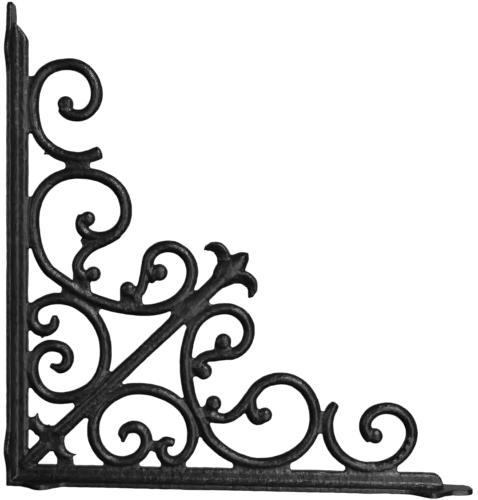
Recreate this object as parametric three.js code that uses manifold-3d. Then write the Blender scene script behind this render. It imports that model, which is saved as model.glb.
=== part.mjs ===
// Ornate cast iron shelf bracket: two T-section arms at a right angle, with scrollwork cast between them.
//
// Millimetres, +Z up. The wall plate's back is the plane x = 0 and the scrollwork lies in the plane y = 0.
// The shapes are drawn from the lower outer corner, x along the shelf arm and z up the wall arm. The finished
// casting is then moved so that the origin is on the wall plate's back, originHeight above that corner.

import * as THREE from "three";
import { ConvexGeometry } from "three/addons/geometries/ConvexGeometry.js";
import { mergeVertices } from "three/addons/utils/BufferGeometryUtils.js";
import Module from "manifold-3d";

const wasm = await Module();
wasm.setup();

// Arms
const wallArmLength = 401.5;
const shelfArmLength = 387;
const shelfDroop = 1.22; // degrees that the shelf arm falls away from square
const plateThickness = 4.4;
const plateHalfWidth = 12;
const tipLength = 26; // over which a plate narrows to its tip
const ribReach = 16; // from a plate's outer face to the rib's inner edge
const ribHalfThickness = 5;
const ribCrestHalf = 3.2; // half the rib's inner edge, between its two bevels
const ribBevel = 3; // how far the bevels run down the rib's sides
const coveRadius = 3.4; // hollow fillet between plate and rib
const ribEndSteps = [0.25, 0.55, 0.85, 0.98]; // shares of the run over which the rib comes down at its end

// Screw ears, a pair on each side of both plates: half the width across a pair, and the pairs' places
const wallEars = { halfWidth: 21, fromCorner: 31, fromTip: 40 };
const shelfEars = { halfWidth: 25, fromCorner: 30, fromTip: 36 };
const earLength = 40;
const screwHoleRadius = 2.9;
const screwHoleInset = 6.5; // from the ear's edge to the hole's centre

// Scroll bars, rod and knobs
const barHalfWidth = 4.7;
const barHalfDepth = 4.8;
const rodHalfWidth = 5.8;
const rodHalfDepth = 6;
const knobRadius = 6.5;
const knobHalfDepth = 5.6;
const webHalfDepth = 3;
const petalHalfDepth = 5;
const finialHalfDepth = 6.6;
const footHalfDepth = 4.6; // of the flat where the rod's foot and its two petals meet

// The scrollwork's own size: its places below are drawn for arms of these lengths, rib and droop,
// and follow the arms when those change.
const drawn = { wallArm: 401.5, shelfArm: 387, rib: 16, droop: 1.22 };

const originHeight = 200;

// What differs between the two arms: the length, half the tip's width, how far the tip's corners are cut, the
// rib's end, and the ears' places along the plate. The rib stops short of the tip and comes down over its run,
// as a round if its fullness is 2 and more as a slope if that is less.
const wallArm = {
  length: wallArmLength, tipHalfWidth: 9, tipCut: 3, ears: wallEars,
  ribEnd: { short: 16.5, run: 15, fullness: 1.3 },
};
const shelfArm = {
  length: shelfArmLength, tipHalfWidth: 10, tipCut: 4, ears: shelfEars,
  ribEnd: { short: 24, run: 9, fullness: 2.2 },
};

// How finely the curves are cut into straight steps
const cornerCut = 0.52; // how far a step may stay inside its curve
const largestTurn = 30; // degrees that a bar may turn at one station
const longestStep = 22;
const holeSegments = 5; // in half a screw hole
const knobSegments = 12;
const bossSegments = { around: 10, fromPole: 6 };

const weldDistance = 1e-4; // closer corners become one
const nearlyParallel = 0.12; // sine of the angle between headings that make no arc

const degrees = (angle) => (angle * Math.PI) / 180;

// A drawn place, moved to where the arms as made put it.
function place(x, z) {
  const across = ribReach + ((x - drawn.rib) * (shelfArmLength - ribReach)) / (drawn.shelfArm - drawn.rib);
  const up = ribReach + ((z - drawn.rib) * (wallArmLength - ribReach)) / (drawn.wallArm - drawn.rib);
  const fall = across * (Math.tan(degrees(shelfDroop)) - Math.tan(degrees(drawn.droop)));
  return new THREE.Vector2(across, up - fall);
}

// Scroll bars. A knot is a place, the bar's heading there in degrees (0 along the shelf, 90 up the wall)
// and, where it isn't 1, its width as a share of the bar's. Between two knots the bar runs as an arc.
const bars = {
  topScroll: [
    [46, 313.5, -60, 1.1], [58, 307.5, 0], [73.5, 326, 90], [50, 350.5, 180], [28.5, 342.5, 230],
    [20, 317, 270], [28.5, 286, 311], [58, 272, 0], [75.5, 276.5, 23, 1.14],
  ],
  upperLoop: [
    [62, 222, 240], [60.5, 216.5, 270], [76, 205.5, 0], [98, 227, 90], [91.5, 246.5, 130],
    [57.5, 259.5, 180], [33.5, 251, 219], [20.5, 221, 270], [33.5, 178, 310], [55.5, 162, 326],
    [79, 150.5, 342], [114.5, 144.5, 0], [153.3, 177, 90], [132.5, 198, 180], [116, 183.5, 270],
    [122, 172, 330, 1.15],
  ],
  upperBranch: [
    [90, 209.5, 224], [75, 201, 204], [65.5, 195, 224, 0.94], [57.5, 182, 270, 0.94], [64, 172.5, 350, 1.07],
  ],
  middleBranch: [[116, 185.5, 264], [111.5, 164.5, 256, 0.9], [104, 156, 215]],
  wallRing: [
    [35.2, 98.5, 335, 0.5], [42.5, 96, 0, 0.9], [49.5, 105.5, 90], [36, 115, 180], [19.5, 96, 270],
    [42.5, 71, 0], [69.5, 81, 42], [81, 110, 90], [40, 154.5, 180], [26, 150.5, 208, 0.9],
    [19, 139.5, 270], [29, 127.5, 0], [38.5, 135.5, 90, 0.83], [38.5, 139.5, 90, 0.5],
  ],
  shelfRing: [
    [95.5, 34.7, 90, 0.35], [95.5, 41.5, 92, 0.9], [104.5, 47, 0, 1.06], [115, 35.5, 270], [94.5, 17.5, 180],
    [70.5, 44.5, 90], [108, 79, 0], [154, 41.5, 270], [149.5, 26, 237, 0.9], [137.5, 17.5, 180],
    [127.5, 28, 90], [131.5, 34.5, 10, 0.9], [137.3, 33.7, -20, 0.75],
  ],
  longScroll: [
    [157.5, 95.5, 90, 1.04], [168, 106.3, 6, 0.96], [183.5, 108, 0], [201, 127, 90], [180.5, 146, 180],
    [152.5, 126.5, 252], [148, 101.5, 270, 1.04], [151, 74, 283, 1.04], [159, 55.5, 302, 1.07],
    [169.5, 35.5, 314, 1.07], [212, 16, 0], [256.5, 54.5, 90], [228, 87.5, 180], [209.5, 81.3, 218],
    [202, 68, 270], [209, 54.5, 0, 1.2], [214, 57, 40, 1.1],
  ],
  longBranch: [
    [209.5, 81, 224], [199, 68, 234], [191.5, 60, 222, 0.94], [180, 54, 182, 0.92],
    [167.5, 57, 155, 1.07],
  ],
  endScroll: [
    [273, 66, 232, 0.75], [270.5, 62.5, 237, 0.95], [266.5, 48, 270], [303, 12.5, 0], [330, 24.5, 50, 1.06],
    [337, 42, 90], [316, 62.5, 180], [298, 47.5, 270], [303, 39, 320, 1.2],
  ],
};

// Round knobs at the scrolls' ends: place and radius as a share of the usual one.
const knobs = [
  [47.3, 317.2, 1], [66, 221, 0.94], [70.5, 175, 0.98], [125.7, 176.2, 1.04], [99.5, 162, 1.02],
  [179.4, 118.2, 1.04], [163, 93.5, 1.04], [171.3, 66.5, 1], [214, 57, 0.95], [306.5, 39.5, 0.94],
];

// Thin webs where the casting fills the corner between two bars, or between a bar and an arm.
const webs = {
  topToArm: [[14, 340], [23, 340.5], [20, 317], [26.5, 292], [14, 293]],
  topToUpper: [[31.8, 275], [39.8, 270.3], [47.2, 267.8], [47.5, 259.5], [67.5, 259.5], [67.5, 271.5]],
  branchToLoop: [[59, 204.5], [63.5, 203], [68, 203.5], [69.5, 200], [62, 197.5]],
  upperToArm: [[14, 239.5], [21, 240], [20, 220], [22.5, 196.5], [14, 196.5]],
  branchRoot: [[54, 179.5], [68, 173.5], [68, 159.5], [54, 164.5]],
  middleRoot: [[93, 161.5], [104, 156], [110, 165], [111.5, 157], [112, 147.5], [93, 148.5]],
  ringTopToArm: [[14, 150.5], [20, 151.5], [20, 128], [14, 127]],
  ringToArm: [[14, 110], [20, 110], [20, 80], [14, 80]],
  wallRingToUpper: [[43.8, 162.5], [68, 167], [69.5, 155], [68, 152.5], [44, 152.5]],
  upperToRing: [[62, 154], [77, 147.5], [74, 141], [62, 148]],
  upperToRodBelow: [[129, 148.5], [130, 146.5], [136.5, 144.5], [134, 138], [137, 133], [150, 146], [146, 152]],
  rodToLong: [[145.5, 135], [149.5, 130], [171.5, 148], [164.5, 153.5]],
  upperToRodAbove: [[151, 161], [152.5, 160], [156, 161], [161, 162.5], [164, 157], [150, 146], [143, 151]],
  ringToRodAbove: [[78.5, 96], [80.5, 94], [85.5, 93], [88, 86], [80, 79], [76, 86]],
  ringToRodBelow: [[53, 71], [54, 68], [54.8, 65], [58, 59], [66, 66], [68, 76]],
  shelfRingToRodAbove: [[90, 88.5], [91, 87.5], [95, 83], [96, 77], [86, 73], [82, 79]],
  shelfRingToRodBelow: [[63.5, 54.5], [67.5, 54.5], [73, 56], [74, 68], [68, 66]],
  rodToUpright: [[142, 137.5], [144.5, 136.5], [150, 135], [153, 130], [156, 140], [148, 143]],
  shelfRingToUpright: [[142, 71.5], [146.5, 70.5], [149.5, 75], [149.5, 66]],
  petalToArm: [[14, 54.5], [21, 55.5], [25, 53], [20, 43.5], [14, 46.5]],
  petalToShelf: [[40.5, 24.5], [50, 24], [54.5, 19.5], [53.3, 11.5], [40.5, 11.5]],
  ringToShelf: [[79.5, 18.5], [109, 18.5], [109, 11], [79.5, 11]],
  hooks: [[116, 37.5], [121, 35], [127, 36], [128, 25.5], [121, 26], [116, 29.5]],
  hookToShelf: [[127, 18.5], [148, 18.5], [148, 11], [127, 11]],
  knobToUpright: [[150, 105.5], [160, 103.5], [160, 89.5], [150, 88.5]],
  innerKnobNeck: [[172, 117.5], [185.5, 117.5], [185.5, 107.5], [172, 107.5]],
  uprightToBranch: [[158, 63], [162, 63.5], [166, 67], [172, 60], [170, 51], [159, 49.5]],
  ringToLong: [[152, 49.5], [162, 51.5], [163, 38.5], [158, 39], [152, 39.5]],
  longKnobFill: [[205, 62.5], [209.5, 61.5], [212, 57], [206, 55]],
  longToShelf: [[187.5, 19.5], [235.5, 19.5], [235.5, 8.5], [187.5, 8.5]],
  longToEnd: [[257, 60.5], [265, 59.5], [270, 50], [263, 41.5], [257, 41.5]],
  endToShelf: [[281, 17.5], [325, 17.5], [325, 6.5], [281, 6.5]],
};

// Diagonal rod from the corner to the finial, which are both drawn along it: a place is measured from the
// rod's foot, along the rod and out to its left.
const rod = { foot: [36, 37.2], heading: 43.4 };
const legKnots = [[-33, 0, 0, 1.1], [-9, 0, 0, 1.06], [1, 0, 0, 0.6]];
const rodKnots = [[3, 0, 0, 0.6], [11, 0, 0, 1.08], [32, 0, 0], [110, 0, 0, 0.98], [201, 0, 0, 1.1]];
const footPetal = [[-1.5, 5, 96, 0.8], [-2.2, 12, 88, 1.15], [-0.5, 18.5, 62, 0.85], [6, 24, 42, 0.12]];
const footFillet = [[13, 4.5], [6, 8.5], [2.7, 14], [-2, 12], [0, 3]];
const footFlat = [[9.5, 5.2], [5.2, 9.5], [-4.5, 9.5], [-9, 5.6]]; // its left half
const finialRise = 162; // from the rod's foot to where the finial's places below are measured from
const finialPetal = [
  [16, 1, 0], [32, 2.9, 18, 1.06], [41.9, 6.8, 40, 1.1], [47.6, 13.5, 72, 1.15], [48.3, 19.5, 100, 1.12],
  [45.8, 24.2, 135, 0.87], [41.2, 26.8, 160, 0.55], [38.8, 27.2, 172, 0.2],
];
const finialHeart = [[36, 0], [50.5, 9.5], [60.3, 4.8], [62.8, 2.2], [64, 0]]; // its left half
const heartEdge = 2; // half depth at the heart's outline, under its ridge
const heartRidge = [46, 58]; // the ridge's ends

// Rounded lumps on the rod, where the scrolls cross it and where the finial's petals spread: the middle's place
// along the rod and out to its left, and half the length, width and depth
const bosses = {
  crossing: { middle: [158, 1], half: [18, 9.5, 6.4] },
  finialBody: { middle: [205, 0.8], half: [15, 9, 7] },
};

// A solid body from rings of points that all have the same count, closed by a fan at each end.
function loft(rings) {
  const count = rings[0].length;
  const positions = [];
  const addTriangle = (a, b, c) => positions.push(...a.toArray(), ...b.toArray(), ...c.toArray());
  for (let i = 0; i + 1 < rings.length; i++) {
    for (let j = 0; j < count; j++) {
      const k = (j + 1) % count;
      addTriangle(rings[i][j], rings[i + 1][j], rings[i + 1][k]);
      addTriangle(rings[i][j], rings[i + 1][k], rings[i][k]);
    }
  }
  const middle = (ring) => ring.reduce((sum, p) => sum.add(p), new THREE.Vector3()).divideScalar(count);
  const [first, last] = [rings[0], rings[rings.length - 1]];
  const [firstMiddle, lastMiddle] = [middle(first), middle(last)];
  for (let j = 0; j < count; j++) {
    const k = (j + 1) % count;
    addTriangle(firstMiddle, first[j], first[k]);
    addTriangle(lastMiddle, last[k], last[j]);
  }
  const geometry = new THREE.BufferGeometry();
  geometry.setAttribute("position", new THREE.Float32BufferAttribute(positions, 3));
  return geometry;
}

// A closed geometry as a solid that can be joined and cut.
function toSolid(geometry) {
  const bare = geometry.clone();
  bare.deleteAttribute("normal");
  bare.deleteAttribute("uv");
  const merged = mergeVertices(bare, weldDistance);
  const mesh = new wasm.Mesh({
    numProp: 3,
    vertProperties: new Float32Array(merged.attributes.position.array),
    triVerts: new Uint32Array(merged.index.array),
  });
  return new wasm.Manifold(mesh);
}

function toGeometry(solid) {
  const mesh = solid.getMesh();
  const geometry = new THREE.BufferGeometry();
  geometry.setAttribute("position", new THREE.BufferAttribute(new Float32Array(mesh.vertProperties), 3));
  geometry.setIndex(new THREE.BufferAttribute(new Uint32Array(mesh.triVerts), 1));
  geometry.computeVertexNormals();
  return geometry;
}

// The arc between two knots: a curve that leaves and arrives on their headings, round or oval where the
// headings meet ahead, and a gentle S where they don't.
function arcBetween(from, to) {
  const leave = new THREE.Vector2(Math.cos(degrees(from.heading)), Math.sin(degrees(from.heading)));
  const arrive = new THREE.Vector2(Math.cos(degrees(to.heading)), Math.sin(degrees(to.heading)));
  const chord = to.point.clone().sub(from.point);
  const cross = leave.cross(arrive);
  let [leaveReach, arriveReach] = [chord.length() / 3, chord.length() / 3];
  if (Math.abs(cross) > nearlyParallel) {
    const toMeeting = chord.cross(arrive) / cross;
    const fromMeeting = leave.cross(chord) / cross;
    if (toMeeting > 0 && fromMeeting > 0) {
      const turn = Math.acos(leave.dot(arrive));
      const roundness = ((4 / 3) * Math.tan(turn / 4)) / Math.tan(turn / 2);
      leaveReach = roundness * toMeeting;
      arriveReach = roundness * fromMeeting;
    }
  }
  return new THREE.CubicBezierCurve(
    from.point,
    from.point.clone().addScaledVector(leave, leaveReach),
    to.point.clone().addScaledVector(arrive, -arriveReach),
    to.point,
  );
}

// The stations along a bar: place, direction and width share, closer together where it bends more.
function stationsAlong(knots) {
  const stations = [];
  for (let i = 0; i + 1 < knots.length; i++) {
    const curve = arcBetween(knots[i], knots[i + 1]);
    const turned = knots[i + 1].heading - knots[i].heading;
    const turn = degrees(Math.abs(THREE.MathUtils.euclideanModulo(turned + 180, 360) - 180));
    const radius = curve.getLength() / Math.max(turn, degrees(1));
    const turnPerStep = Math.min(degrees(largestTurn), Math.sqrt((8 * cornerCut) / radius));
    const steps = Math.max(1, Math.ceil(turn / turnPerStep), Math.ceil(curve.getLength() / longestStep));
    for (let s = i === 0 ? 0 : 1; s <= steps; s++) {
      const t = s / steps;
      stations.push({
        point: curve.getPoint(t),
        along: curve.getTangent(t),
        share: THREE.MathUtils.lerp(knots[i].share, knots[i + 1].share, t),
      });
    }
  }
  return stations;
}

// Across and depth shares of a bar's section: eight sides, with a crest along the front and the back.
const barSection = [0, 1, 2, 3, 4, 5, 6, 7].map((corner) => {
  const angle = degrees(corner * 45);
  const fullness = corner % 2 ? 1.06 : 1;
  return [Math.cos(angle) * fullness, Math.sin(angle) * fullness];
});

// A bar with that section along its knots. A narrow tip is thinner too.
function sweptBar(knots, halfWidth, halfDepth) {
  const rings = stationsAlong(knots).map(({ point, along, share }) =>
    barSection.map(([across, depth]) => {
      const reach = across * halfWidth * share;
      const rise = depth * halfDepth * Math.min(1, Math.sqrt(share));
      return new THREE.Vector3(point.x - along.y * reach, rise, point.y + along.x * reach);
    }),
  );
  return toSolid(loft(rings));
}

function scrollBars() {
  return Object.values(bars).map((knots) => {
    const placed = knots.map(([x, z, heading, share = 1]) => ({ point: place(x, z), heading, share }));
    return sweptBar(placed, barHalfWidth, barHalfDepth);
  });
}

// A domed button, turned about the y axis.
function knobAt([x, z, share]) {
  const radius = knobRadius * share;
  const profile = [[0, -1], [0.6, -0.84], [1, -0.32], [1, 0.32], [0.6, 0.84], [0, 1]];
  const points = profile.map(([out, rise]) => new THREE.Vector2(out * radius, rise * knobHalfDepth));
  const geometry = new THREE.LatheGeometry(points, knobSegments);
  const centre = place(x, z);
  geometry.translate(centre.x, 0, centre.y);
  return toSolid(geometry);
}

// A flat outline in x and z, given depth to both sides of y = 0.
function slab(points, halfDepth, holes = []) {
  const shape = new THREE.Shape(points);
  shape.holes = holes;
  const settings = { depth: 2 * halfDepth, bevelEnabled: false, curveSegments: holeSegments };
  const geometry = new THREE.ExtrudeGeometry(shape, settings);
  geometry.translate(0, 0, -halfDepth);
  geometry.rotateX(Math.PI / 2);
  return geometry;
}

function webPlates() {
  return Object.values(webs).map((outline) => {
    const points = outline.map(([x, z]) => place(x, z));
    return toSolid(slab(points, webHalfDepth));
  });
}

// The rod's direction, from its foot, so that it still aims at the same place when the arms change.
function rodFrame() {
  const foot = place(...rod.foot);
  const heading = degrees(rod.heading);
  const far = [rod.foot[0] + finialRise * Math.cos(heading), rod.foot[1] + finialRise * Math.sin(heading)];
  const along = place(...far).sub(foot);
  return { foot, stretch: along.length() / finialRise, angle: Math.atan2(along.y, along.x) };
}

// A knot drawn along the rod, side 1 to its left and -1 mirrored to its right.
function rodKnot([along, out, heading, share = 1], rise, side) {
  const { foot, stretch, angle } = rodFrame();
  const point = new THREE.Vector2(rise * stretch + along, out * side).rotateAround(new THREE.Vector2(), angle);
  return { point: point.add(foot), heading: THREE.MathUtils.radToDeg(angle) + heading * side, share };
}

function diagonalRod() {
  return [legKnots, rodKnots].map((knots) =>
    sweptBar(knots.map((knot) => rodKnot(knot, 0, 1)), rodHalfWidth, rodHalfDepth),
  );
}

// The rounded lumps, each an ellipsoid turned to lie along the rod.
function rodBosses() {
  const { angle } = rodFrame();
  return Object.values(bosses).map(({ middle, half: [length, width, depth] }) => {
    const geometry = new THREE.SphereGeometry(1, bossSegments.around, bossSegments.fromPole);
    geometry.scale(length, depth, width);
    geometry.rotateY(-angle);
    const { point } = rodKnot([...middle, 0], 0, 1);
    geometry.translate(point.x, 0, point.y);
    return toSolid(geometry);
  });
}

function petals() {
  return [1, -1].flatMap((side) => [
    sweptBar(footPetal.map((knot) => rodKnot(knot, 0, side)), barHalfWidth, petalHalfDepth),
    sweptBar(finialPetal.map((knot) => rodKnot(knot, finialRise, side)), barHalfWidth, petalHalfDepth),
  ]);
}

// The thin webs in the corners between the rod's foot and its two petals, and the flat where these meet.
function footPlates() {
  const at = (along, out) => rodKnot([along, out, 0], 0, 1).point;
  const fillets = [1, -1].map((side) => {
    const outline = footFillet.map(([along, out]) => at(along, out * side));
    return toSolid(slab(outline, webHalfDepth));
  });
  const right = footFlat.map(([along, out]) => at(along, -out)).reverse();
  const flat = [...footFlat.map(([along, out]) => at(along, out)), ...right];
  return [...fillets, toSolid(slab(flat, footHalfDepth))];
}

// The finial's middle petal: a pointed lozenge with a ridge along the front and the back.
function finialMiddle() {
  const at = (along, out, y) => {
    const { point } = rodKnot([along, out, 0], finialRise, 1);
    return new THREE.Vector3(point.x, y, point.y);
  };
  const outline = finialHeart.flatMap(([along, out]) =>
    [-out, out].flatMap((across) => [at(along, across, -heartEdge), at(along, across, heartEdge)]),
  );
  const ridge = heartRidge.flatMap((along) => [at(along, 0, -finialHalfDepth), at(along, 0, finialHalfDepth)]);
  return toSolid(new ConvexGeometry([...outline, ...ridge]));
}

// One arm, drawn along +z from the corner with its outer face at x = 0.
function arm({ length, tipHalfWidth, tipCut, ribEnd, ears }) {
  const earCentres = [ears.fromCorner, length - ears.fromTip];
  const edge = plateStations(length, earCentres, tipCut).map((z) => {
    const intoTip = Math.max(0, (z - (length - tipLength)) / tipLength);
    const cut = Math.max(0, z - (length - tipCut));
    const narrowing = (plateHalfWidth - tipHalfWidth) * intoTip ** 2 + cut;
    return new THREE.Vector2(plateHalfWidthAt(z, earCentres, ears.halfWidth) - narrowing, z);
  });
  const outline = [...edge, ...edge.map((p) => new THREE.Vector2(-p.x, p.y)).reverse()];
  const holes = earCentres.flatMap((z) => [1, -1].map((side) => {
    const circle = new THREE.Path();
    circle.absarc(side * (ears.halfWidth - screwHoleInset), z, screwHoleRadius, 0, 2 * Math.PI, true);
    return circle;
  }));
  const plate = slab(outline, plateThickness / 2, holes);
  plate.rotateZ(-Math.PI / 2);
  plate.translate(plateThickness / 2, 0, 0);
  return toSolid(plate).add(toSolid(rib(length - ribEnd.short, ribEnd)));
}

// Half the plate's width at a height up the arm, swelled at the ears.
function plateHalfWidthAt(z, earCentres, earHalfWidth) {
  let half = plateHalfWidth;
  for (const centre of earCentres) {
    const off = Math.abs(z - centre) / (earLength / 2);
    if (off < 1) half += ((earHalfWidth - plateHalfWidth) * (1 + Math.cos(Math.PI * off))) / 2;
  }
  return half;
}

function plateStations(length, earCentres, tipCut) {
  const heights = [0, length - tipCut, length];
  for (const centre of earCentres) {
    for (let i = -4; i <= 4; i++) heights.push(centre + (i * earLength) / 8);
  }
  for (let i = 0; i < 4; i++) heights.push(length - (tipLength * i) / 4);
  return [...new Set(heights)].filter((z) => z >= 0 && z <= length).sort((a, b) => a - b);
}

// The rib down the middle of a plate, with coves at its root and bevels at its inner edge. At its end it comes
// down to the plate over the run, along a superellipse of that fullness.
function rib(end, { run, fullness }) {
  const root = plateThickness;
  const shoulder = ribReach - ribBevel;
  const half = [
    [root / 2, ribHalfThickness + coveRadius], [root, ribHalfThickness + coveRadius],
    [root + coveRadius * 0.3, ribHalfThickness + coveRadius * 0.3], [root + coveRadius, ribHalfThickness],
    [shoulder, ribHalfThickness], [ribReach, ribCrestHalf],
  ];
  const section = [...half, ...half.map(([x, y]) => [x, -y]).reverse()];
  const heights = [[0, 1], [end - run, 1]];
  for (const step of ribEndSteps) {
    heights.push([end - run * (1 - step), (1 - step ** fullness) ** (1 / fullness)]);
  }
  return loft(heights.map(([z, share]) => section.map(([x, y]) => {
    const reach = x > root ? root + (x - root) * share : x;
    return new THREE.Vector3(reach, y, z);
  })));
}

function arms() {
  const wall = arm(wallArm);
  const lying = new THREE.Matrix4().makeRotationY(degrees(90 + shelfDroop));
  const flipped = new THREE.Matrix4().makeScale(-1, 1, 1);
  const shelf = arm(shelfArm).transform(lying.multiply(flipped).toArray());
  return [wall, shelf];
}

function casting() {
  const pieces = [
    ...arms(), ...scrollBars(), ...knobs.map(knobAt), ...webPlates(), ...diagonalRod(), ...rodBosses(),
    ...petals(), ...footPlates(), finialMiddle(),
  ];
  const geometry = toGeometry(pieces.reduce((whole, piece) => whole.add(piece)));
  geometry.translate(0, 0, -originHeight);
  return geometry;
}

const blackIron = new THREE.MeshStandardMaterial({ color: 0x1b1b1c, roughness: 0.45, metalness: 0.6 });
const bracket = new THREE.Mesh(casting(), blackIron);
bracket.name = "bracket_casting";

const part = new THREE.Group();
part.add(bracket);

export default part;
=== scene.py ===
"""Ornate cast iron shelf bracket: the rounded, sand-cast and black-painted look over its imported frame.

Shapes are worked out in millimetres from the lower outer corner, x along the shelf arm and z up the wall arm,
as in the part's own source, and are moved into the frame in metres when the casting's mesh is made.
"""

import bpy
import numpy as np
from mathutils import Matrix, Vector


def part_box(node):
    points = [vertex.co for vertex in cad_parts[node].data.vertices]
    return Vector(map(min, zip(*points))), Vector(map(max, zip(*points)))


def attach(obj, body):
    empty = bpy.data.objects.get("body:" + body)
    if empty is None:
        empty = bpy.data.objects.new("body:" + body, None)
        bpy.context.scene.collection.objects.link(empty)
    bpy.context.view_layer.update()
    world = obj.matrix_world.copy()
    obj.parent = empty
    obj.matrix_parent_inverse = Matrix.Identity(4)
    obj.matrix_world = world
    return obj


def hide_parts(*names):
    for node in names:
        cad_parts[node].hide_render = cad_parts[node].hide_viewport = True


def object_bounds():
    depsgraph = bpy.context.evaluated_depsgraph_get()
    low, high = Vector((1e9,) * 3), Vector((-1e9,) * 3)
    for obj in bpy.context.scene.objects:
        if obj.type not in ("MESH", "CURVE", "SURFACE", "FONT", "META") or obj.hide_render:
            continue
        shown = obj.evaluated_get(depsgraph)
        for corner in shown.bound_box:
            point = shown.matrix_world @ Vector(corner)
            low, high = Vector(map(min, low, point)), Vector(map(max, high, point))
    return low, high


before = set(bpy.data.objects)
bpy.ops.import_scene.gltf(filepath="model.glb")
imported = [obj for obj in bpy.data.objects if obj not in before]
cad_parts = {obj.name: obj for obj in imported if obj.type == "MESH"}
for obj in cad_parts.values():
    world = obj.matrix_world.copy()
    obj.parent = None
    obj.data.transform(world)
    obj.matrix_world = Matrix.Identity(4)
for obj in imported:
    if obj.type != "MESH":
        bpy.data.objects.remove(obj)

frame_low, frame_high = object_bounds()

MM = 0.001
CASTING_NODE = "bracket_casting"
ORIGIN_HEIGHT = 200  # of the frame's origin above the corner

# Arms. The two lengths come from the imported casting.
node_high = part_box(CASTING_NODE)[1]
WALL_ARM = node_high.z / MM + ORIGIN_HEIGHT
SHELF_ARM = node_high.x / MM
SHELF_DROOP = 1.22  # degrees
PLATE = 4.4
PLATE_HALF_WIDTH = 12
RIB_REACH = 16
RIB_HALF = 5
RIB_CREST_HALF = 3.4
RIB_BEVEL = 2.4
COVE = 4.2
COVE_HOLLOW = 0.46  # how far the cove's middle stands off its corner, as a share of the cove
NEARLY_ENDED = 0.995  # the share of the rib's run down at which it is closed
TIP_LENGTH = 26
EAR_LENGTH = 40
HOLE_RADIUS = 2.9
HOLE_INSET = 6.5
HOLE_FLARE = (1.6, 2.8)  # outward and down from the plate's inner face

# Each arm: the tip's half width and cut corners, the ears, and the rib's end. The rib stops short of the
# arm's end, and comes down to the plate over its run along a superellipse of that fullness.
WALL = {"length": WALL_ARM, "tip_half_width": 9, "tip_cut": 3,
        "ear_half_width": 21, "ears": (31, WALL_ARM - 40), "rib_end": (16.5, 15, 1.3)}
SHELF = {"length": SHELF_ARM, "tip_half_width": 10, "tip_cut": 4,
         "ear_half_width": 25, "ears": (30, SHELF_ARM - 36), "rib_end": (24, 9, 2.2)}

# Scroll bars, rod and knobs: half widths and half depths. They are a little over the real ones, because the
# smoothing of the skin takes that much off again.
BAR_HALF_WIDTH = 5.2
BAR_HALF_DEPTH = 5.3
ROD_HALF_WIDTH = 6.3
ROD_HALF_DEPTH = 6.1
KNOB_RADIUS = 6.8
KNOB_HALF_DEPTH = 5.9
WEB_HALF_DEPTH = 3
PETAL_HALF_DEPTH = 5.2
FINIAL_HALF_DEPTH = 7

# How full a section is: 2 is an ellipse, less has a crest along the front and the back, and more is squarer.
# A lean moves the crest to the left, as a share of the half width.
BAR_FULLNESS = 1.62
ROD_FULLNESS = 2
PLATE_FULLNESS = 30
PETAL_FULLNESS = 1.75
PETAL_LEAN = 0.6
FINIAL_FULLNESS = 1.5
FINIAL_LEAN = 0.2
FINIAL_THINNING = 7  # the length near the tip over which the middle petal's depth falls
FINIAL_BLUNTNESS = 0.5  # how far beyond the tip it would come to nothing
KNOB_SHOULDER = 0.7  # the power of the cosine that a knob's radius falls with

# How finely the forms are laid out: the step along a bar, the rings along a form and the points round one
PATH_STEP = 0.9
ARC_EXCESS = 1.1  # how much longer than its chord an arc may be, for the number of its steps
NEARLY_PARALLEL = 0.12  # the sine of the angle between two headings that counts as none
END_TURNS = (30, 60, 82)  # degrees round the quarter ellipse that closes a bar's end
POLE_TURN = 86  # degrees from the middle to the last ring of a knob, lump or nub
BAR_POINTS = 28
KNOB_RINGS = 15
FINIAL_RINGS = 40
LUMP_RINGS, LUMP_POINTS = 25, 32
NUB_RINGS, NUB_POINTS = 9, 16
PLATE_RINGS, PLATE_POINTS = 220, 40
RIB_RINGS, RIB_END_RINGS = 60, 16
HOLE_POINTS = 32

# How the casting's skin is made
VOXEL = 0.75
SMOOTHING = 0.5  # how far a round moves a point toward its neighbours
SMOOTHING_ROUNDS = 3
OFF_ARMS = 0.2  # beyond the ribs' reach, where the smoothing starts
WEB_SMOOTHING_ROUNDS = 16
WEB_SMOOTHING_REACH = 2.2  # beyond a web's outline
MOST_TRIANGLES = 192000
UNEVENNESS = [(0.12, 34, 3), (0.05, 9, 5), (0.03, 3.6, 8)]  # size, wavelength and seed of its waves

# The paint: how often its patterns repeat in a metre, how deep its bumps are in metres, and its roughness
# where it is glossiest and where it is dullest
TONE_SCALE = 60
GLOSS_SCALE = 300
SAND_SCALE, SAND_DEPTH = 330, 0.0006
GRIT_SCALE, GRIT_DEPTH = 1000, 0.0001
DARK_TONE = (0.005, 0.005, 0.0055, 1)
PALE_TONE = (0.012, 0.0115, 0.011, 1)
GLOSSIEST, DULLEST = 0.27, 0.41
NOISE_LOW, NOISE_HIGH = 0.3, 0.7  # the noise's values where a ramp starts and ends
SPECULAR = 0.6

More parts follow.
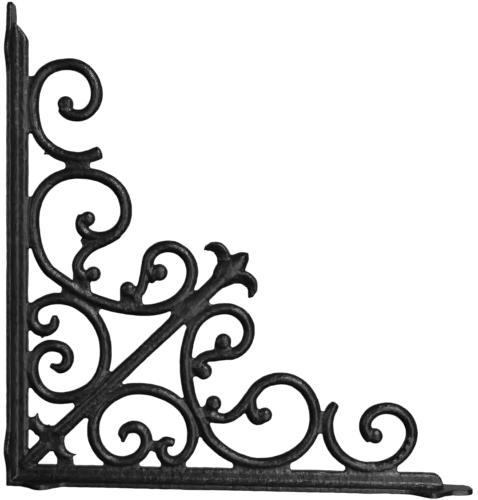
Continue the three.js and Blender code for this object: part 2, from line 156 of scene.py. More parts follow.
# A knot is a place, the bar's heading there (0 along the shelf, 90 up the wall) and its width as a share.
BARS = {
    "top_scroll": [
        (46, 313.5, -60, 1.1), (58, 307.5, 0), (73.5, 326, 90), (50, 350.5, 180), (28.5, 342.5, 230),
        (20, 317, 270), (28.5, 286, 311), (58, 272, 0), (75.5, 276.5, 23, 1.14),
    ],
    "upper_loop": [
        (62, 222, 240), (60.5, 216.5, 270), (76, 205.5, 0), (98, 227, 90), (91.5, 246.5, 130),
        (57.5, 259.5, 180), (33.5, 251, 219), (20.5, 221, 270), (33.5, 178, 310), (55.5, 162, 326),
        (79, 150.5, 342), (114.5, 144.5, 0), (153.3, 177, 90), (132.5, 198, 180), (116, 183.5, 270),
        (122, 172, 330, 1.15),
    ],
    "upper_branch": [
        (90, 209.5, 224), (75, 201, 204), (65.5, 195, 224, 0.94), (57.5, 182, 270, 0.94),
        (64, 172.5, 350, 1.07),
    ],
    "middle_branch": [(116, 185.5, 264), (111.5, 164.5, 256, 0.9), (104, 156, 215)],
    "wall_ring": [
        (35.2, 98.5, 335, 0.5), (42.5, 96, 0, 0.9), (49.5, 105.5, 90), (36, 115, 180), (19.5, 96, 270),
        (42.5, 71, 0), (69.5, 81, 42), (81, 110, 90), (40, 154.5, 180), (26, 150.5, 208, 0.9),
        (19, 139.5, 270), (29, 127.5, 0), (38.5, 135.5, 90, 0.83), (38.5, 139.5, 90, 0.5),
    ],
    "shelf_ring": [
        (95.5, 34.7, 90, 0.35), (95.5, 41.5, 92, 0.9), (104.5, 47, 0, 1.06), (115, 35.5, 270),
        (94.5, 17.5, 180), (70.5, 44.5, 90), (108, 79, 0), (154, 41.5, 270), (149.5, 26, 237, 0.9),
        (137.5, 17.5, 180), (127.5, 28, 90), (131.5, 34.5, 10, 0.9), (137.3, 33.7, -20, 0.75),
    ],
    "long_scroll": [
        (157.5, 95.5, 90, 1.04), (168, 106.3, 6, 0.96), (183.5, 108, 0), (201, 127, 90), (180.5, 146, 180),
        (152.5, 126.5, 252), (148, 101.5, 270, 1.04), (151, 74, 283, 1.04), (159, 55.5, 302, 1.07),
        (169.5, 35.5, 314, 1.07), (212, 16, 0), (256.5, 54.5, 90), (228, 87.5, 180), (209.5, 81.3, 218),
        (202, 68, 270), (209, 54.5, 0, 1.2), (214, 57, 40, 1.1),
    ],
    "long_branch": [
        (209.5, 81, 224), (199, 68, 234), (191.5, 60, 222, 0.94), (180, 54, 182, 0.92),
        (167.5, 57, 155, 1.07),
    ],
    "end_scroll": [
        (273, 66, 232, 0.75), (270.5, 62.5, 237, 0.95), (266.5, 48, 270), (303, 12.5, 0),
        (330, 24.5, 50, 1.06), (337, 42, 90), (316, 62.5, 180), (298, 47.5, 270), (303, 39, 320, 1.2),
    ],
}

# Round knobs at the scrolls' ends: place and radius as a share of the usual one
KNOBS = [
    (47.3, 317.2, 1), (66, 221, 0.94), (70.5, 175, 0.98), (125.7, 176.2, 1.04), (99.5, 162, 1.02),
    (179.4, 118.2, 1.04), (163, 93.5, 1.04), (171.3, 66.5, 1), (214, 57, 0.95), (306.5, 39.5, 0.94),
]

# Thin webs in the corners between two bars, or between a bar and an arm
WEBS = {
    "top_to_arm": [(14, 340), (23, 340.5), (20, 317), (26.5, 292), (14, 293)],
    "top_to_upper": [(31.8, 275), (39.8, 270.3), (47.2, 267.8), (47.5, 259.5), (67.5, 259.5), (67.5, 271.5)],
    "branch_to_loop": [(59, 204.5), (63.5, 203), (68, 203.5), (69.5, 200), (62, 197.5)],
    "upper_to_arm": [(14, 239.5), (21, 240), (20, 220), (22.5, 196.5), (14, 196.5)],
    "branch_root": [(54, 179.5), (68, 173.5), (68, 159.5), (54, 164.5)],
    "middle_root": [(93, 161.5), (104, 156), (110, 165), (111.5, 157), (112, 147.5), (93, 148.5)],
    "ring_top_to_arm": [(14, 150.5), (20, 151.5), (20, 128), (14, 127)],
    "ring_to_arm": [(14, 110), (20, 110), (20, 80), (14, 80)],
    "wall_ring_to_upper": [(43.8, 162.5), (68, 167), (69.5, 155), (68, 152.5), (44, 152.5)],
    "upper_to_ring": [(62, 154), (77, 147.5), (74, 141), (62, 148)],
    "upper_to_rod_below": [
        (129, 148.5), (130, 146.5), (136.5, 144.5), (134, 138), (137, 133), (150, 146), (146, 152),
    ],
    "rod_to_long": [(145.5, 135), (149.5, 130), (171.5, 148), (164.5, 153.5)],
    "upper_to_rod_above": [
        (151, 161), (152.5, 160), (156, 161), (161, 162.5), (164, 157), (150, 146), (143, 151),
    ],
    "ring_to_rod_above": [(78.5, 96), (80.5, 94), (85.5, 93), (88, 86), (80, 79), (76, 86)],
    "ring_to_rod_below": [(53, 71), (54, 68), (54.8, 65), (58, 59), (66, 66), (68, 76)],
    "shelf_ring_to_rod_above": [(90, 88.5), (91, 87.5), (95, 83), (96, 77), (86, 73), (82, 79)],
    "shelf_ring_to_rod_below": [(63.5, 54.5), (67.5, 54.5), (73, 56), (74, 68), (68, 66)],
    "rod_to_upright": [(142, 137.5), (144.5, 136.5), (150, 135), (153, 130), (156, 140), (148, 143)],
    "shelf_ring_to_upright": [(142, 71.5), (146.5, 70.5), (149.5, 75), (149.5, 66)],
    "petal_to_arm": [(14, 54.5), (21, 55.5), (25, 53), (20, 43.5), (14, 46.5)],
    "petal_to_shelf": [(40.5, 24.5), (50, 24), (54.5, 19.5), (53.3, 11.5), (40.5, 11.5)],
    "ring_to_shelf": [(79.5, 18.5), (109, 18.5), (109, 11), (79.5, 11)],
    "hooks": [(116, 37.5), (121, 35), (127, 36), (128, 25.5), (121, 26), (116, 29.5)],
    "hook_to_shelf": [(127, 18.5), (148, 18.5), (148, 11), (127, 11)],
    "knob_to_upright": [(150, 105.5), (160, 103.5), (160, 89.5), (150, 88.5)],
    "inner_knob_neck": [(172, 117.5), (185.5, 117.5), (185.5, 107.5), (172, 107.5)],
    "upright_to_branch": [(158, 63), (162, 63.5), (166, 67), (172, 60), (170, 51), (159, 49.5)],
    "ring_to_long": [(152, 49.5), (162, 51.5), (163, 38.5), (158, 39), (152, 39.5)],
    "long_knob_fill": [(205, 62.5), (209.5, 61.5), (212, 57), (206, 55)],
    "long_to_shelf": [(187.5, 19.5), (235.5, 19.5), (235.5, 8.5), (187.5, 8.5)],
    "long_to_end": [(257, 60.5), (265, 59.5), (270, 50), (263, 41.5), (257, 41.5)],
    "end_to_shelf": [(281, 17.5), (325, 17.5), (325, 6.5), (281, 6.5)],
}

# The rod and what is drawn along it: places along the rod from its foot, and out to its left
ROD_FOOT = (36, 37.2)
ROD_HEADING = 43.4
LEG_KNOTS = [(-33, 0, 0, 1.1), (-9, 0, 0, 1.06), (1, 0, 0, 0.6)]
ROD_KNOTS = [(3, 0, 0, 0.6), (11, 0, 0, 1.08), (32, 0, 0), (110, 0, 0, 0.98), (201, 0, 0, 1.1)]
FOOT_PETAL = [(-1.5, 5, 96, 0.8), (-2.2, 12, 88, 1.15), (-0.5, 18.5, 62, 0.85), (6, 24, 42, 0.12)]
FOOT_FILLET = [(13, 4.5), (6, 8.5), (2.7, 14), (-2, 12), (0, 3)]
FOOT_FLAT = [(9.5, 5.2), (5.2, 9.5), (-4.5, 9.5), (-9, 5.6)]  # its left half
FOOT_HALF_DEPTH = 4.6
FOOT_SMOOTHED = [(17, 3), (9, 9), (3, 13.5), (-5, 13.5), (-13, 6)]  # the left half of where it is smoothed
FINIAL_RISE = 162
FINIAL_PETAL = [
    (16, 1, 0), (32, 2.9, 18, 1.06), (41.9, 6.8, 40, 1.1), (47.6, 13.5, 72, 1.15), (48.3, 19.5, 100, 1.12),
    (45.8, 24.2, 135, 0.87), (41.2, 26.8, 160, 0.55), (38.8, 27.2, 172, 0.2),
]
FINIAL_HEART = [(36, 4), (43, 6.5), (50.5, 9.5), (55, 7.5), (60.3, 4.8), (62.8, 2.2), (64, 0.4)]

# Rounded lumps on the rod: the middle's place along it and to its left, half the length, width and depth, and
# how full the section is
CROSSING_BOSS = ((158, 1), (19, 9.5, 6.4), 2)
FINIAL_BODY = ((204, 1.2), (16, 10.5, 7.2), 1.8)

# Small lumps that the casting left on the scrolls' edges and crests: place, radius and how far forward
NUBS = [
    (30.5, 275.5, 1.5, 1), (28, 122.5, 1.4, 1), (33.5, 48.5, 1.3, 1), (334, 37, 3, 3), (331.5, 30, 3.2, 3),
    (326, 22.5, 3, 3.2), (321.5, 18.5, 2.6, 3.4),
]


def heading_vector(angle):
    """The unit vectors in x and z of headings in degrees."""
    turned = np.radians(angle)
    return np.stack([np.cos(turned), np.sin(turned)], -1)


def arc(start, end, steps):
    """Points, directions and shares of the way between two knots. The cubic curve's handles reach
    (4/3)tan(a/4)/tan(a/2) of the way to where the two headings meet, a being the turn, which makes a round or
    oval arc. Headings that don't meet ahead get handles of a third of the chord."""
    p0, p3 = np.array(start[:2], float), np.array(end[:2], float)
    leave, arrive = heading_vector(start[2]), heading_vector(end[2])
    chord = p3 - p0
    cross = leave[0] * arrive[1] - leave[1] * arrive[0]
    reach = np.full(2, np.hypot(*chord) / 3)
    if abs(cross) > NEARLY_PARALLEL:
        meeting = np.array([
            chord[0] * arrive[1] - chord[1] * arrive[0],
            leave[0] * chord[1] - leave[1] * chord[0],
        ]) / cross
        if (meeting > 0).all():
            turn = np.arccos(np.clip(leave @ arrive, -1, 1))
            reach = meeting * (4 / 3) * np.tan(turn / 4) / np.tan(turn / 2)
    p1, p2 = p0 + leave * reach[0], p3 - arrive * reach[1]
    t = np.linspace(0, 1, steps + 1)[:, None]
    point = (1 - t) ** 3 * p0 + 3 * (1 - t) ** 2 * t * p1 + 3 * (1 - t) * t**2 * p2 + t**3 * p3
    along = (1 - t) ** 2 * (p1 - p0) + 2 * (1 - t) * t * (p2 - p1) + t**2 * (p3 - p2)
    return point, along / np.linalg.norm(along, axis=1, keepdims=True), t[:, 0]


def path_through(knots):
    """Points, directions and width shares of a bar every path step or so along its arcs. From knot to knot
    the share changes as t squared times (3 - 2t)."""
    knots = [tuple(k) + (1,) * (4 - len(k)) for k in knots]
    points, alongs, shares = [], [], []
    for start, end in zip(knots[:-1], knots[1:]):
        steps = max(4, int(np.hypot(end[0] - start[0], end[1] - start[1]) * ARC_EXCESS / PATH_STEP))
        point, along, t = arc(start, end, steps)
        first = 1 if points else 0
        eased = t * t * (3 - 2 * t)
        points.append(point[first:])
        alongs.append(along[first:])
        shares.append((start[3] + (end[3] - start[3]) * eased)[first:])
    return np.concatenate(points), np.concatenate(alongs), np.concatenate(shares)


def rings_to_mesh(rings):
    """A closed mesh from rings of points (rings, points round, 3): quads between neighbours and a fan at
    each end. Returns vertices and a list of faces."""
    count, around = rings.shape[:2]
    vertices = np.concatenate([rings.reshape(-1, 3), rings[:1].mean(1), rings[-1:].mean(1)])
    row, col = np.meshgrid(np.arange(count - 1), np.arange(around), indexing="ij")
    nxt = (col + 1) % around
    here, ahead = row * around, (row + 1) * around
    quads = np.stack([here + col, ahead + col, ahead + nxt, here + nxt], -1)
    j = np.arange(around)
    k = (j + 1) % around
    last = (count - 1) * around
    low = np.stack([np.full(around, count * around), j, k], -1)
    high = np.stack([np.full(around, count * around + 1), last + k, last + j], -1)
    return vertices, quads.reshape(-1, 4).tolist() + low.tolist() + high.tolist()


def rounded_section(fullness, around=BAR_POINTS):
    """Across and depth shares round a bar: the superellipse |across|^f + |depth|^f = 1 of fullness f."""
    angle = np.arange(around) * 2 * np.pi / around
    across, depth = np.cos(angle), np.sin(angle)
    power = 2 / fullness
    return np.sign(across) * np.abs(across) ** power, np.sign(depth) * np.abs(depth) ** power


def swept_bar(knots, half_width, half_depth, fullness=BAR_FULLNESS, lean=0.0, cap=0.4):
    """A bar with a rounded section carried along its knots. Its ends are closed by quarter ellipses that
    reach cap half widths on. The lean slides each point across in step with its depth."""
    point, along, share = path_through(knots)
    turn = np.radians(np.array(END_TURNS))
    reach, shrink = np.sin(turn) * cap * half_width, np.cos(turn)
    ahead = point[-1] + along[-1] * (reach * share[-1])[:, None]
    behind = point[0] - along[0] * (reach[::-1] * share[0])[:, None]
    point = np.concatenate([behind, point, ahead])
    added = len(END_TURNS)
    along = np.concatenate([np.repeat(along[:1], added, 0), along, np.repeat(along[-1:], added, 0)])
    scale = np.concatenate([share[0] * shrink[::-1], share, share[-1] * shrink])
    thick = np.concatenate([np.sqrt(min(1, share[0])) * shrink[::-1], np.sqrt(np.minimum(1, share)),
                            np.sqrt(min(1, share[-1])) * shrink])
    across, depth = rounded_section(fullness)
    across = across * (1 - abs(lean) * np.abs(depth)) + lean * np.abs(depth)
    left = np.stack([-along[:, 1], along[:, 0]], -1)
    flat = point[:, None] + left[:, None] * (across[None, :, None] * scale[:, None, None] * half_width)
    rise = depth[None] * thick[:, None] * half_depth
    return rings_to_mesh(np.stack([flat[..., 0], rise, flat[..., 1]], -1))


def knob(x, z, share):
    """A button turned about y: its radius goes as a power of the cosine, and its rise as the sine."""
    turn = np.radians(np.linspace(-POLE_TURN, POLE_TURN, KNOB_RINGS))
    radius = KNOB_RADIUS * share * np.cos(turn) ** KNOB_SHOULDER
    around = np.arange(BAR_POINTS) * 2 * np.pi / BAR_POINTS
    return rings_to_mesh(np.stack([
        x + radius[:, None] * np.cos(around),
        np.repeat((KNOB_HALF_DEPTH * np.sin(turn))[:, None], BAR_POINTS, 1),
        z - radius[:, None] * np.sin(around),
    ], -1))


def web(outline, half_depth=WEB_HALF_DEPTH):
    """A flat plate of that outline, as deep on both sides of y = 0."""
    flat = np.array(outline, float)
    x, z = flat[:, 0], flat[:, 1]
    if (x * np.roll(z, -1) - z * np.roll(x, -1)).sum() < 0:
        x, z = x[::-1], z[::-1]
    count = len(x)
    front = np.stack([x, np.full(count, -half_depth), z], -1)
    back = np.stack([x, np.full(count, half_depth), z], -1)
    j = np.arange(count)
    k = (j + 1) % count
    sides = np.stack([j, j + count, k + count, k], -1).tolist()
    return np.concatenate([front, back]), [j.tolist(), (j[::-1] + count).tolist()] + sides


def on_rod(u, v):
    """The x and z of places along the rod from its foot, and out to its left."""
    cos, sin = heading_vector(ROD_HEADING)
    return ROD_FOOT[0] + u * cos - v * sin, ROD_FOOT[1] + u * sin + v * cos


def along_rod(knots, rise=0.0, side=1):
    """Knots drawn along the rod, side 1 to its left and -1 mirrored to its right, as knots in x and z."""
    return [
        (*on_rod(u + rise, v * side), ROD_HEADING + heading * side, *share)
        for u, v, heading, *share in knots
    ]


def both_sides(half):
    """An outline on the rod from its left half, and that half mirrored."""
    return [on_rod(u, v) for u, v in half] + [on_rod(u, -v) for u, v in half[::-1]]


def finial_heart():
    """The middle petal: a crested section along the rod. Its half width follows the petal's outline, and its
    depth falls as a square root near the tip. The crest starts left of the middle and comes to it there."""
    along, half = np.array(FINIAL_HEART).T
    u = np.linspace(along[0], along[-1], FINIAL_RINGS)
    width = np.interp(u, along, half)
    deep = FINIAL_HALF_DEPTH * np.minimum(1, np.sqrt((along[-1] + FINIAL_BLUNTNESS - u) / FINIAL_THINNING))
    across, depth = rounded_section(FINIAL_FULLNESS)
    lean = FINIAL_LEAN * (along[-1] - u) / (along[-1] - along[0])
    slid = across[None] * (1 - lean[:, None] * np.abs(depth)) + lean[:, None] * np.abs(depth)
    x, z = on_rod((u + FINIAL_RISE)[:, None], slid * width[:, None])
    return rings_to_mesh(np.stack([x, depth[None] * deep[:, None], z], -1))


def boss(middle, half, fullness):
    """A lump lying along the rod: sections that are superellipses, and that shrink toward its ends as a
    superellipse too. With a fullness of 2 it is an ellipsoid."""
    turn = np.radians(np.linspace(-POLE_TURN, POLE_TURN, LUMP_RINGS))[:, None]
    across, depth = rounded_section(fullness, LUMP_POINTS)
    ring = np.cos(turn) ** (2 / fullness)
    u = middle[0] + half[0] * np.sin(turn) + 0 * across[None]
    x, z = on_rod(u, middle[1] + half[1] * ring * across[None])
    return rings_to_mesh(np.stack([x, half[2] * ring * depth[None], z], -1))


def nub(x, z, radius, forward):
    """A ball, mostly sunk in a bar: circles whose radius goes as the cosine up its height."""
    turn = np.radians(np.linspace(-POLE_TURN, POLE_TURN, NUB_RINGS))[:, None]
    around = (np.arange(NUB_POINTS) * 2 * np.pi / NUB_POINTS)[None]
    out = radius * np.cos(turn)
    return rings_to_mesh(np.stack([
        x + out * np.cos(around),
        radius * np.sin(turn) - forward + 0 * around,
        z - out * np.sin(around),
    ], -1))


def plate_half_width(z, arm):
    """Half a plate's width up the arm: the plain width, a raised cosine at each pair of ears, a narrowing
    with the square of the way into the tip, and the cut corners at its very end."""
    half = np.full_like(z, PLATE_HALF_WIDTH)
    for centre in arm["ears"]:
        off = np.clip(np.abs(z - centre) / (EAR_LENGTH / 2), 0, 1)
        half += (arm["ear_half_width"] - PLATE_HALF_WIDTH) * (1 + np.cos(np.pi * off)) / 2
    into_tip = np.clip((z - (arm["length"] - TIP_LENGTH)) / TIP_LENGTH, 0, 1)
    half -= (PLATE_HALF_WIDTH - arm["tip_half_width"]) * into_tip**2
    return half - np.clip(z - (arm["length"] - arm["tip_cut"]), 0, None)


def plate(arm):
    """A flat plate up the arm. Its section is a superellipse, so full that it is a rectangle with eased
    edges."""
    z = np.linspace(0, arm["length"], PLATE_RINGS)
    half = plate_half_width(z, arm)
    across, depth = rounded_section(PLATE_FULLNESS, PLATE_POINTS)
    return rings_to_mesh(np.stack([
        PLATE / 2 + np.repeat((depth * PLATE / 2)[None], len(z), 0),
        -across[None] * half[:, None],
        np.repeat(z[:, None], len(across), 1),
    ], -1))


def screw_cutters(arm):
    """The tools that cut an arm's screw holes: a shank through the plate, with a cone at its inner face."""
    cutters = []
    flare, down = HOLE_FLARE
    rise = np.array([-1, PLATE - down, PLATE, PLATE + down])
    radius = HOLE_RADIUS + np.array([0, 0, flare, 2 * flare])
    around = np.arange(HOLE_POINTS) * 2 * np.pi / HOLE_POINTS
    for centre in arm["ears"]:
        for side in (-1, 1):
            y = side * (arm["ear_half_width"] - HOLE_INSET)
            cutters.append(rings_to_mesh(np.stack([
                np.repeat(rise[:, None], HOLE_POINTS, 1),
                y + radius[:, None] * np.sin(around),
                centre - radius[:, None] * np.cos(around),
            ], -1)))
    return cutters


def rib(arm):
    """The rib up the middle of a plate, with two straight steps for the cove at each side of its root, and
    bevels at its inner edge. Near its end it comes down to the plate along a superellipse."""
    cove = np.array([0, COVE_HOLLOW, 1]) * COVE
    half_x = np.concatenate([[PLATE / 2], PLATE + cove, [RIB_REACH - RIB_BEVEL, RIB_REACH]])
    half_y = np.concatenate([[RIB_HALF + COVE], RIB_HALF + cove[::-1], [RIB_HALF, RIB_CREST_HALF]])
    x = np.concatenate([half_x, half_x[::-1]])
    y = np.concatenate([half_y, -half_y[::-1]])
    short, run, fullness = arm["rib_end"]
    end = arm["length"] - short
    step = np.linspace(0, NEARLY_ENDED, RIB_END_RINGS)[1:]
    z = np.concatenate([np.linspace(0, end - run, RIB_RINGS), end - run * (1 - step)])
    height = np.concatenate([np.ones(RIB_RINGS), (1 - step**fullness) ** (1 / fullness)])
    reach = np.where(x > PLATE, PLATE + (x - PLATE) * height[:, None], x)
    return rings_to_mesh(np.stack([
        reach,
        np.repeat(y[None], len(z), 0),
        np.repeat(z[:, None], len(x), 1),
    ], -1))


def laid_along_shelf(form):
    """An arm's form, mirrored and turned down from the wall arm's place to the shelf arm's."""
    vertices, faces = form
    turn = np.radians(90 + SHELF_DROOP)
    x, y, z = vertices.T
    laid = np.stack([z * np.sin(turn) - x * np.cos(turn), y, z * np.cos(turn) + x * np.sin(turn)], -1)
    return laid, [face[::-1] for face in faces]


def mesh_object(name, forms):
    """One object from several forms, moved to the frame's origin and from millimetres to metres."""
    vertices, faces, offset = [], [], 0
    for points, polygons in forms:
        vertices.append(points)
        faces.extend([[corner + offset for corner in polygon] for polygon in polygons])
        offset += len(points)
    points = (np.concatenate(vertices) - (0, 0, ORIGIN_HEIGHT)) * MM
    mesh = bpy.data.meshes.new(name)
    mesh.from_pydata(points.tolist(), [], faces)
    mesh.update()
    made = bpy.data.objects.new(name, mesh)
    bpy.context.scene.collection.objects.link(made)
    return made


def baked(source, name):
    """A copy of an object's mesh with its modifiers applied."""
    graph = bpy.context.evaluated_depsgraph_get()
    mesh = bpy.data.meshes.new_from_object(source.evaluated_get(graph))
    mesh.name = name
    return mesh


def read_vectors(mesh, name):
    """One vector of each of a mesh's vertices, such as its place or its normal."""
    vectors = np.zeros(len(mesh.vertices) * 3, np.float32)
    mesh.vertices.foreach_get(name, vectors)
    return vectors.reshape(-1, 3)


def millimetres_from_corner(mesh):
    """A mesh's vertices, back from the frame's metres."""
    return read_vectors(mesh, "co") / MM + (0, 0, ORIGIN_HEIGHT)


def drilled_plates():
    """Both arms' plates with their screw holes cut."""
    plates = mesh_object("plates", [plate(WALL), laid_along_shelf(plate(SHELF))])
    cutters = screw_cutters(WALL) + [laid_along_shelf(tool) for tool in screw_cutters(SHELF)]
    tools = mesh_object("screw_cutters", cutters)
    cut = plates.modifiers.new("screw_holes", "BOOLEAN")
    cut.operation, cut.object, cut.solver = "DIFFERENCE", tools, "EXACT"
    cut.use_self = True
    drilled = baked(plates, "drilled_plates")
    for spare in (plates, tools):
        bpy.data.objects.remove(spare)
    return millimetres_from_corner(drilled), [list(face.vertices) for face in drilled.polygons]


def casting_forms():
    """Every form of the casting, overlapping where they join."""
    forms = [drilled_plates(), rib(WALL), laid_along_shelf(rib(SHELF))]
    forms += [swept_bar(knots, BAR_HALF_WIDTH, BAR_HALF_DEPTH) for knots in BARS.values()]
    forms += [knob(*place) for place in KNOBS]
    forms += [web(outline) for outline in WEBS.values()]
    for knots in (LEG_KNOTS, ROD_KNOTS):
        forms.append(swept_bar(along_rod(knots), ROD_HALF_WIDTH, ROD_HALF_DEPTH, ROD_FULLNESS))
    for side in (1, -1):
        forms.append(web([on_rod(u, v * side) for u, v in FOOT_FILLET]))
        forms.append(swept_bar(along_rod(FOOT_PETAL, side=side), BAR_HALF_WIDTH, PETAL_HALF_DEPTH))
        petal = along_rod(FINIAL_PETAL, rise=FINIAL_RISE, side=side)
        forms.append(swept_bar(petal, BAR_HALF_WIDTH, PETAL_HALF_DEPTH, PETAL_FULLNESS, -PETAL_LEAN * side))
    forms.append(web(both_sides(FOOT_FLAT), FOOT_HALF_DEPTH))
    forms += [boss(*CROSSING_BOSS), boss(*FINIAL_BODY), finial_heart()]
    forms += [nub(*place) for place in NUBS]
    return forms


def off_arms(points):
    """How far points lie from the nearer of the two arms' outer faces."""
    turn = np.radians(90 + SHELF_DROOP)
    above_shelf_face = points[:, 2] * np.sin(turn) - points[:, 0] * np.cos(turn)
    return np.minimum(points[:, 0], above_shelf_face)


def near_webs(points):
    """Which points are within the webs' outlines in x and z, or near them: an odd count of the edges that a
    ray along x crosses, or a short distance to an edge."""
    near = np.zeros(len(points), bool)
    for outline in [*WEBS.values(), both_sides(FOOT_SMOOTHED)]:
        corners = np.array(outline, float)
        reach = WEB_SMOOTHING_REACH
        boxed = (points > corners.min(0) - reach) & (points < corners.max(0) + reach)
        box = boxed.all(axis=1).nonzero()[0]
        inside, close = np.zeros(len(box), bool), np.zeros(len(box), bool)
        x, z = points[box].T
        for (x0, z0), (x1, z1) in zip(corners, np.roll(corners, -1, 0)):
            if z0 != z1:
                inside ^= ((z0 > z) != (z1 > z)) & (x < (x1 - x0) * (z - z0) / (z1 - z0) + x0)
            along = (x - x0) * (x1 - x0) + (z - z0) * (z1 - z0)
            t = np.clip(along / ((x1 - x0)**2 + (z1 - z0)**2), 0, 1)
            close |= np.hypot(x - x0 - t * (x1 - x0), z - z0 - t * (z1 - z0)) < reach
        near[box] |= inside | close
    return near


def wave_noise(points, wavelength, seed, waves=14):
    """Smooth noise of unit strength: a sum of sines over the points, each in a random direction at about that
    wavelength, divided by the sum's usual size."""
    rng = np.random.default_rng(seed)
    direction = rng.normal(size=(waves, 3))
    direction /= np.linalg.norm(direction, axis=1, keepdims=True)
    number = 2 * np.pi / (wavelength * rng.uniform(0.7, 1.4, waves))
    phase = rng.uniform(0, 2 * np.pi, waves)
    return np.sin(points @ (direction * number[:, None]).T + phase).sum(1) / np.sqrt(waves / 2)


def roughen(mesh):
    """Moves each point along its normal by the unevenness, a sum of noises, within the frame's box."""
    points, normals = read_vectors(mesh, "co").astype(float), read_vectors(mesh, "normal")
    rise = sum(size * wave_noise(points / MM, wavelength, seed) for size, wavelength, seed in UNEVENNESS)
    moved = points + normals * (rise * MM)[:, None]
    moved = np.clip(moved, np.array(frame_low), np.array(frame_high))
    mesh.vertices.foreach_set("co", moved.astype(np.float32).ravel())
    mesh.update()


def cast_bracket():
    """The whole casting as one skin: the forms are merged on a grid of voxels, smoothed off the arms so that
    their joints become fillets, most of all near the webs, roughened, and thinned."""
    rough = mesh_object("casting_forms", casting_forms())
    merge = rough.modifiers.new("merge", "REMESH")
    merge.mode, merge.voxel_size, merge.adaptivity = "VOXEL", VOXEL * MM, 0
    merged = baked(rough, "bracket_skin")
    bpy.data.objects.remove(rough)
    skin = bpy.data.objects.new("cast_iron_bracket", merged)
    bpy.context.scene.collection.objects.link(skin)
    points = millimetres_from_corner(merged)
    off, webbed = off_arms(points), near_webs(points[:, [0, 2]])
    for name, chosen, rounds in (("fillets", off > RIB_REACH + OFF_ARMS, SMOOTHING_ROUNDS),
                                 ("web_fillets", (off > PLATE + COVE) & webbed, WEB_SMOOTHING_ROUNDS)):
        group = skin.vertex_groups.new(name=name)
        group.add(chosen.nonzero()[0].tolist(), 1, "REPLACE")
        soften = skin.modifiers.new(name, "SMOOTH")
        soften.factor, soften.iterations, soften.vertex_group = SMOOTHING, rounds, group.name
    softened = baked(skin, "bracket_softened")
    skin.modifiers.clear()
    skin.vertex_groups.clear()
    roughen(softened)
    skin.data = softened
    thin = skin.modifiers.new("thin", "DECIMATE")
    thin.ratio = min(1, MOST_TRIANGLES / (2 * len(merged.polygons)))
    skin_mesh = baked(skin, "cast_iron_bracket")
    skin.modifiers.clear()
    skin.data = skin_mesh
    skin_mesh.polygons.foreach_set("use_smooth", np.ones(len(skin_mesh.polygons), bool))
    print("casting skin:", len(merged.polygons), "quads,", len(skin_mesh.polygons), "faces kept")
    return skin


def black_iron():
    """Satin black paint over sand-cast iron: nearly black with a slow change of tone, a roughness that
    varies, and a bump of fine grit over soft orange peel."""
    material = bpy.data.materials.new("black_iron")
    material.use_nodes = True
    nodes, links = material.node_tree.nodes, material.node_tree.links
    shader = nodes["Principled BSDF"]
    shader.inputs["Metallic"].default_value = 0.0
    shader.inputs["Specular IOR Level"].default_value = SPECULAR
    place = nodes.new("ShaderNodeTexCoord")

    def noise(scale, detail, roughness=0.6):
        made = nodes.new("ShaderNodeTexNoise")
        made.inputs["Scale"].default_value = scale
        made.inputs["Detail"].default_value = detail
        made.inputs["Roughness"].default_value = roughness
        links.new(place.outputs["Object"], made.inputs["Vector"])
        return made.outputs["Fac"]

    def ramp(value, low, high):
        made = nodes.new("ShaderNodeValToRGB")
        start, end = made.color_ramp.elements
        start.position, start.color = NOISE_LOW, low
        end.position, end.color = NOISE_HIGH, high
        links.new(value, made.inputs["Fac"])
        return made.outputs["Color"]

    links.new(ramp(noise(TONE_SCALE, 6), DARK_TONE, PALE_TONE), shader.inputs["Base Color"])
    gloss = ramp(noise(GLOSS_SCALE, 4), (GLOSSIEST, GLOSSIEST, GLOSSIEST, 1), (DULLEST, DULLEST, DULLEST, 1))
    links.new(gloss, shader.inputs["Roughness"])

    def bump(height, distance, under=None):
        made = nodes.new("ShaderNodeBump")
        made.inputs["Strength"].default_value = 1.0
        made.inputs["Distance"].default_value = distance
        links.new(height, made.inputs["Height"])
        if under:
            links.new(under, made.inputs["Normal"])
        return made.outputs["Normal"]

    sand = bump(noise(SAND_SCALE, 2, 0.5), SAND_DEPTH)
    links.new(bump(noise(GRIT_SCALE, 2, 0.5), GRIT_DEPTH, sand), shader.inputs["Normal"])
    return material


bracket = cast_bracket()
bracket.data.materials.clear()
bracket.data.materials.append(black_iron())
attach(bracket, "root")
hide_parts(CASTING_NODE)

# The studio: a floor and glowing walls round the bracket, in metres from the frame's origin
PALE = (0.9, 0.9, 0.9, 1)
FLOOR = -1.05
SIDE = 4.0
BACK = 3.0
FAR_BACK = 3.1  # where a dimmer wall stands, which the bracket's gloss shows in place of the backdrop
FLOOR_GLOW = 0.55
BACKDROP_GLOW = 1.0
FAR_BACK_GLOW = 0.28
WALL_GLOW = 0.8


def plain_sheet(name, corners, glow, mirrored=False):
    """A flat pale sheet of the studio, not part of the object. The bracket's gloss shows it if mirrored."""
    mesh = bpy.data.meshes.new(name)
    mesh.from_pydata(corners, [], [(0, 1, 2, 3)])
    sheet = bpy.data.objects.new(name, mesh)
    bpy.context.scene.collection.objects.link(sheet)
    material = bpy.data.materials.new(name)
    material.use_nodes = True
    shader = material.node_tree.nodes["Principled BSDF"]
    shader.inputs["Base Color"].default_value = PALE
    shader.inputs["Roughness"].default_value = 0.9
    shader.inputs["Emission Color"].default_value = (1, 1, 1, 1)
    shader.inputs["Emission Strength"].default_value = glow
    mesh.materials.append(material)
    sheet.visible_glossy = mirrored
    sheet.visible_diffuse = False


def studio_wall(name, start, end, glow, mirrored=False):
    """An upright sheet on the floor, from one place in x and y to another."""
    plain_sheet(name, [(*start, FLOOR), (*end, FLOOR), (*end, SIDE), (*start, SIDE)], glow, mirrored)


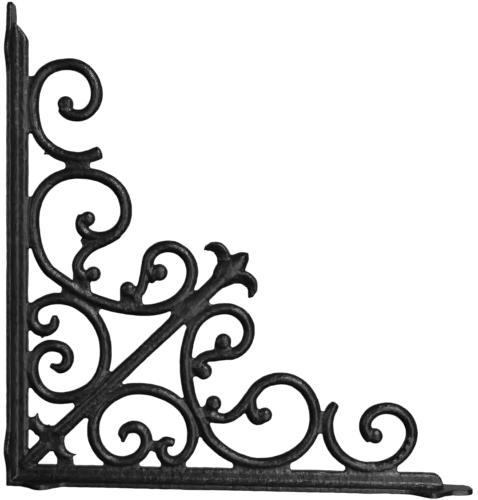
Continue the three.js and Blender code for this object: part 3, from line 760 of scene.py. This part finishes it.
plain_sheet("floor", [(x, y, FLOOR) for x, y in ((-SIDE, -SIDE), (SIDE, -SIDE), (SIDE, SIDE), (-SIDE, SIDE))],
            FLOOR_GLOW)
studio_wall("backdrop", (-SIDE, BACK), (SIDE, BACK), BACKDROP_GLOW)
studio_wall("backdrop_glow", (-SIDE, FAR_BACK), (SIDE, FAR_BACK), FAR_BACK_GLOW, True)
studio_wall("front_wall", (-SIDE, -SIDE), (SIDE, -SIDE), WALL_GLOW)
studio_wall("left_wall", (-SIDE, -SIDE), (-SIDE, SIDE), WALL_GLOW)
studio_wall("right_wall", (SIDE, -SIDE), (SIDE, SIDE), WALL_GLOW)

# Camera: square on, at the photograph's distance and height
MM_PER_PIXEL = 0.837
CAMERA_DISTANCE = 850
PICTURE_HEIGHT = 500
SENSOR_WIDTH = 36
VIEW_CENTRE = (192.5, 195.0 - ORIGIN_HEIGHT)
camera_data = bpy.data.cameras.new("camera")
camera = bpy.data.objects.new("camera", camera_data)
bpy.context.scene.collection.objects.link(camera)
camera.location = (VIEW_CENTRE[0] * MM, -CAMERA_DISTANCE * MM, VIEW_CENTRE[1] * MM)
camera.rotation_euler = (np.pi / 2, 0, 0)
camera_data.sensor_fit = "AUTO"
camera_data.sensor_width = SENSOR_WIDTH
camera_data.lens = SENSOR_WIDTH * CAMERA_DISTANCE / (MM_PER_PIXEL * PICTURE_HEIGHT)
bpy.context.scene.camera = camera

# Lights: place, size in metres and power in watts
MIDDLE = (0.17, 0, -0.05)
LIGHTS = {
    "upper_right": ((0.8, -0.9, 0.9), 0.45, 11.5),
    "left": ((-0.8, -0.9, 0.2), 0.45, 1.9),
    "near_right": ((0.6, -0.7, 0.0), 0.4, 1.2),
    "low_right": ((0.65, -0.6, -0.5), 0.4, 1.9),
    "low_front": ((0.3, -1.1, -0.6), 0.4, 0.6),
    "front": ((0.42, -1.25, 0.28), 0.4, 1.8),
}
WORLD_GLOW = 0.01


def soft_light(name, place, size, power):
    """A square soft light at a place, facing the bracket's middle."""
    data = bpy.data.lights.new(name, "AREA")
    data.shape = "SQUARE"
    data.size = size
    data.energy = power
    light = bpy.data.objects.new(name, data)
    bpy.context.scene.collection.objects.link(light)
    light.location = place
    light.rotation_euler = (Vector(MIDDLE) - Vector(place)).to_track_quat("-Z", "Y").to_euler()


for light_name, setting in LIGHTS.items():
    soft_light(light_name, *setting)

world = bpy.data.worlds.new("studio")
bpy.context.scene.world = world
world.use_nodes = True
world.node_tree.nodes["Background"].inputs["Color"].default_value = (1, 1, 1, 1)
world.node_tree.nodes["Background"].inputs["Strength"].default_value = WORLD_GLOW
bpy.context.scene.view_settings.view_transform = "Standard"
